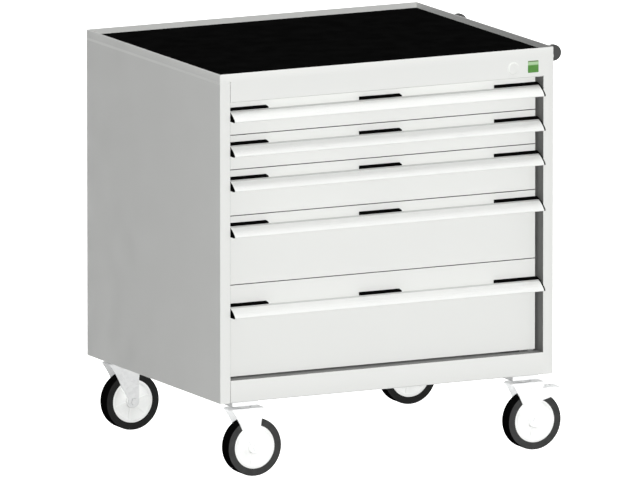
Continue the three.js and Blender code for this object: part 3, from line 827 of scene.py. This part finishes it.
def make_grip(number):
    """The pale strip of the handle: a curved crown, a rolled lip and a web against the drawer. The crown's
    upward faces at the back carry painted shade, and the undersides and the web a darker painted shade.
    """
    outer = curve((13.8, -5), (28.6, -10.2), (40.2, -22.6), 20)
    lip = arc((39.8, -25.0), 1.6, 40, -120, 8)
    inner = curve((38.6, -23.8), (27.8, -12), (15.8, -8), 20)
    web = [(1.8, -14.8), (1.8, -24.4), (0.3, -24.4), (0.3, -12.8), (12.8, -6.8)]
    outline = [handle_point(*point) for point in outer + lip + inner + web]
    bm = bmesh.new()
    end = HANDLE_HALF - CAP_WIDTH - 0.3
    add_prism(bm, outline, "x", -end, end)
    place = (0, 0, node_box(f"handle_clips_{number}")[1].z)
    crown_end = DRAWER_FACE - 19.5

    # painted shade: 1 on the crown's upward faces at the back, 2 on the undersides and the web
    def pick(face):
        middle = face.calc_center_median()
        if face.normal.z > 0.7 and middle.y > crown_end:
            return 1
        under = face.normal.z < -0.1 and middle.z > -22
        return 2 if under or middle.y > DRAWER_FACE - 2 else 0

    make_piece(
        f"grip_strip_{number}", f"drawer_{number}", (GRIP, GRIP_BACK_SHADE, GRIP_UNDER_SHADE),
        bm, (f"handle_{number}",), sharp=38, move=place, pick=pick,
    )


def make_grip_ends(number):
    """Two end caps, three clips in the trough behind the grip, and the strip that joins them."""
    reach = HANDLE_REACH
    cap = [(0.3, 0), (3, -0.4)] + curve((6, -1.4), (29, -8.8), (reach - 0.4, -22.6), 20)
    cap += arc((reach - 1.7, -24.7), 1.7, 0, -90, 5) + [(0.3, -26.4)]
    clip = [(0.3, 0), (12.4, -2.2), (13.2, -2.7), (13.4, -3.4), (13.4, -4.8), (12.4, -6.2), (0.3, -12.3)]
    strip = [(0.3, -9.4), (4, -9.4), (4, -10.4), (0.3, -12.3)]
    spans = [(cap, -HANDLE_HALF, CAP_WIDTH - HANDLE_HALF), (cap, HANDLE_HALF - CAP_WIDTH, HANDLE_HALF)]
    spans += [(clip, start, end) for start, end in CLIP_SPANS]
    spans += [(strip, first[1], second[0]) for first, second in zip(CLIP_SPANS, CLIP_SPANS[1:])]
    bm = bmesh.new()
    for outline, start, end in spans:
        add_prism(bm, [handle_point(*point) for point in outline], "x", start, end)
    name = f"handle_clips_{number}"
    place = (0, 0, node_box(name)[1].z)
    make_piece(
        f"grip_ends_{number}", f"drawer_{number}", BLACK,
        bm, (name,), bevel=0.3, sharp=38, move=place,
    )


# ---------------------------------------------------------------- castors

def castor_axis(place):
    """The (x, y) of a castor's swivel axis, its y also the wheel's."""
    low, high = node_box(f"castor_plate_{place}")
    return (low.x + high.x) / 2, (low.y + high.y) / 2


def wheel_centre(place):
    """The (x, z) of a wheel's axis."""
    low, high = node_box(f"tyre_{place}")
    return (low.x + high.x) / 2, (low.z + high.z) / 2


def pedal_pivot(place):
    """The (x, z) of the brake pedal's pin."""
    x, z = wheel_centre(place)
    return x - 6, z + 74


def lit_front_shaded_rear(place, front, rear):
    """The rear castors get painted shade: darker copies of the front ones' materials."""
    return front if place.startswith("front") else rear


def make_head(place):
    """The mounting head: a rounded block, the ball race under it and the king pin. The race, the
    pin and the block's -x side are painted darker as painted shade."""
    x, y = castor_axis(place)
    low, high = node_box(f"castor_plate_{place}")
    half_x, half_y = 32, 24
    bm = bmesh.new()

    def ring(inset, z):
        return rounded_rectangle(half_x - inset, half_y - inset, 4.0, centre=(x, y)), z

    base = CROWN_TOP + 5.8
    add_stack(bm, [ring(1.5, base), ring(0, base + 1.2), ring(0, high.z - 0.3), ring(0.4, high.z)])
    race = [(0, CROWN_TOP + 0.8), (20, CROWN_TOP + 0.8), (22.6, CROWN_TOP + 2), (23.2, CROWN_TOP + 4)]
    add_lathe(bm, race + [(22.4, base + 0.2), (0, base + 0.2)], "z", (x, y))
    pin = [(0, low.z), (7, low.z), (8.4, low.z + 1.2), (9.5, CROWN_BOTTOM - 0.8), (6, CROWN_BOTTOM - 0.8)]
    add_lathe(bm, pin + [(6, CROWN_TOP + 1), (0, CROWN_TOP + 1)], "z", (x, y), 36)

    # painted shade on the race, the pin and the block's -x side
    def pick(face):
        return 0 if face.calc_center_median().z > base and face.normal.x > -0.6 else 1

    finishes = (CASTOR, CASTOR_HEAD_SHADE)
    name = f"castor_plate_{place}"
    make_piece(f"castor_head_{place}", "cabinet", finishes, bm, (name,), pick=pick)


def leg_outline(x, z):
    """One cheek of the fork as (x, z) points about the wheel's centre."""
    start, end = CROWN_SPAN
    left = curve((x + start, CROWN_BOTTOM + 1), (x - 43.5, z + 67), (x - 32.3, z + 40.7), 12)
    eye = arc((x, z), EYE_RADIUS, 156.6, 363.6, 20)
    right = curve((x + 12.6, z + 47.2), (x + 13.2, z + 62), (x + end, CROWN_BOTTOM + 1), 8)
    return left + eye + right


def make_fork(place):
    """A pressed fork: two cheeks with holes for the axle and the pedal's pin, under a crown."""
    axis_x, y = castor_axis(place)
    x, z = wheel_centre(place)
    holes = [circle((x, z), 5.4, 24)[::-1]]
    if BRAKED[place]:
        holes.append(circle(pedal_pivot(place), 3.4, 12)[::-1])
    bm = bmesh.new()
    for side in (-1, 1):
        start, end = sorted((y + side * FORK_INNER, y + side * FORK_OUTER))
        add_plate(bm, leg_outline(x, z), holes, "y", start, end)
    half_crown = (CROWN_SPAN[1] - CROWN_SPAN[0]) / 2
    crown = rounded_rectangle(half_crown, FORK_OUTER, 6.0, centre=(x + sum(CROWN_SPAN) / 2, y))
    pin_hole = circle((axis_x, y), 6.6, 24)[::-1]
    add_plate(bm, crown, [pin_hole], "z", CROWN_BOTTOM, CROWN_TOP)
    finish = lit_front_shaded_rear(place, CASTOR, CASTOR_REAR_SHADE)
    name = f"fork_{place}"
    make_piece(f"fork_sheet_{place}", f"swivel_{place}", finish, bm, (name,), bevel=0.5)


def make_axle(place):
    """The axle bolt, with a washer and a hexagonal head or nut outside each cheek."""
    y = castor_axis(place)[1]
    centre = wheel_centre(place)
    radius = 4.95
    bm = bmesh.new()
    shaft = [(0, y - 23.5), (radius, y - 23.5), (radius, y + 25), (0, y + 25)]
    add_lathe(bm, shaft, "y", centre, 36)
    for side in (-1, 1):
        inner, outer = y + side * (FORK_OUTER + 0.1), y + side * (FORK_OUTER + 1.1)
        add_lathe(bm, [(4.9, inner), (10.5, inner), (10.5, outer), (4.9, outer)], "y", centre, 36)
        start, end = sorted((y + side * (FORK_OUTER + 1.2), y + side * (FORK_OUTER + 4.9)))
        add_prism(bm, circle(centre, 8.6, 6), "y", start, end)
    finish = lit_front_shaded_rear(place, CASTOR, CASTOR_REAR_SHADE)
    name = f"axle_{place}"
    make_piece(f"axle_bolt_{place}", f"swivel_{place}", finish, bm, (name,), bevel=0.5)


def mirrored(half):
    """A closed wheel profile from the (radius, width) points of its positive half."""
    return half + [(r, -w) for r, w in reversed(half)]


def make_wheel_centre(place):
    """The plastic centre of a wheel: hub, web and rim, with spokes on both faces of the web."""
    y = castor_axis(place)[1]
    centre = wheel_centre(place)
    seat = TYRE_INNER - 0.2
    half = [(5.6, 17.5), (12.5, 17.5), (14.2, 16.6), (15.4, 13.0), (18, 11.6)]
    half += [(seat - 10.5, 11.6), (seat - 7, 13.2), (seat - 5, 15.3), (seat, 15.3)]
    bm = bmesh.new()
    add_lathe(bm, [(r, y + w) for r, w in mirrored(half)], "y", centre, 96)
    spoke = [(14.5, -2.0), (seat - 6, -1.2), (seat - 6, 1.2), (14.5, 2.0)]
    for side in (-1, 1):
        start, end = sorted((y + side * 11.2, y + side * 14.2))
        for k in range(6):
            turn = Matrix.Rotation(math.radians(60 * k + 15), 2)
            outline = [tuple(Vector(centre) + turn @ Vector(corner)) for corner in spoke]
            add_prism(bm, outline, "y", start, end)
    finish = lit_front_shaded_rear(place, RIM, RIM_REAR_SHADE)
    name = f"rim_{place}"
    make_piece(f"wheel_centre_{place}", f"wheel_{place}", finish, bm, (name,), bevel=0.3)


def make_tyre(place):
    """The tyre: a ring with rounded shoulders, its tread darker than its sides."""
    y = castor_axis(place)[1]
    centre = wheel_centre(place)
    round_off = 1.3
    shoulder = arc((WHEEL_RADIUS - round_off, TYRE_HALF - round_off), round_off, 90, 0, 4)
    half = [(TYRE_INNER, TYRE_HALF - 0.5), (TYRE_INNER + 0.8, TYRE_HALF)] + shoulder
    bm = bmesh.new()
    add_lathe(bm, [(r, y + w) for r, w in mirrored(half)], "y", centre, 128)

    def pick(face):
        middle = face.calc_center_median()
        return 1 if math.hypot(middle.x - centre[0], middle.z - centre[1]) > WHEEL_RADIUS - 0.9 else 0

    finishes = (lit_front_shaded_rear(place, TYRE, TYRE_REAR_SHADE), TREAD)
    name = f"tyre_{place}"
    make_piece(f"tyre_ring_{place}", f"wheel_{place}", finishes, bm, (name,), pick=pick)


def make_pedal(place):
    """The brake pedal: two cheeks outside the fork and a ribbed tread plate."""
    y = castor_axis(place)[1]
    x, z = wheel_centre(place)
    pivot = pedal_pivot(place)
    half = FORK_OUTER + 2.5
    lower = curve((x - 12.6, z + 71.8), (x - 4, z + 50), (x + 14, z + 44.3), 10)[1:]
    outline = arc(pivot, 7, 90, 198, 10) + lower
    outline += [(x + 34.4, z + 50), (x + 62, z + 63), (x + 64, z + 70), (x + 20, z + 72)]
    bm = bmesh.new()
    for side in (-1, 1):
        start, end = sorted((y + side * (half - 2), y + side * half))
        add_prism(bm, outline, "y", start, end)
    tread = [(x + 24, z + 69.2), (x + 63.6, z + 67.4), (x + 64, z + 70), (x + 24, z + 71.8)]
    add_prism(bm, tread, "y", y - half, y + half)
    for k in range(4):
        u = x + 34 + 7.5 * k
        rib = [(u, z + 70.6), (u + 2.4, z + 70.6), (u + 2.2, z + 72.2), (u + 0.2, z + 72.2)]
        add_prism(bm, rib, "y", y - 18, y + 18)
    pin = half - 1
    add_lathe(bm, [(0, y - pin), (3, y - pin), (3, y + pin), (0, y + pin)], "y", pivot, 24)
    name = f"brake_pedal_{place}"
    make_piece(f"pedal_{place}", f"brake_{place}", CASTOR, bm, (name,), bevel=0.6)


# ---------------------------------------------------------------- build

make_camera()
make_studio()
make_side("left", -1)
make_side("right", 1)
make_back()
make_base()
make_tray()
make_mat()
make_top_rail()
make_badge()
make_lock_ring()
make_lock_barrel()
make_tube()
make_bar_end("front", -1)
make_bar_end("rear", 1)
for side in ("left", "right"):
    keep_node(f"runner_rack_{side}", ZINC, 0.2)
for number in DRAWERS:
    keep_node(f"drawer_{number}", DRAWER, 0.5)
    keep_node(f"runner_left_{number}", ZINC, 0.2)
    keep_node(f"runner_right_{number}", ZINC, 0.2)
    make_hem(number)
    make_grip(number)
    make_grip_ends(number)
for place in BRAKED:
    make_head(place)
    make_fork(place)
    make_axle(place)
    make_wheel_centre(place)
    make_tyre(place)
    if BRAKED[place]:
        make_pedal(place)
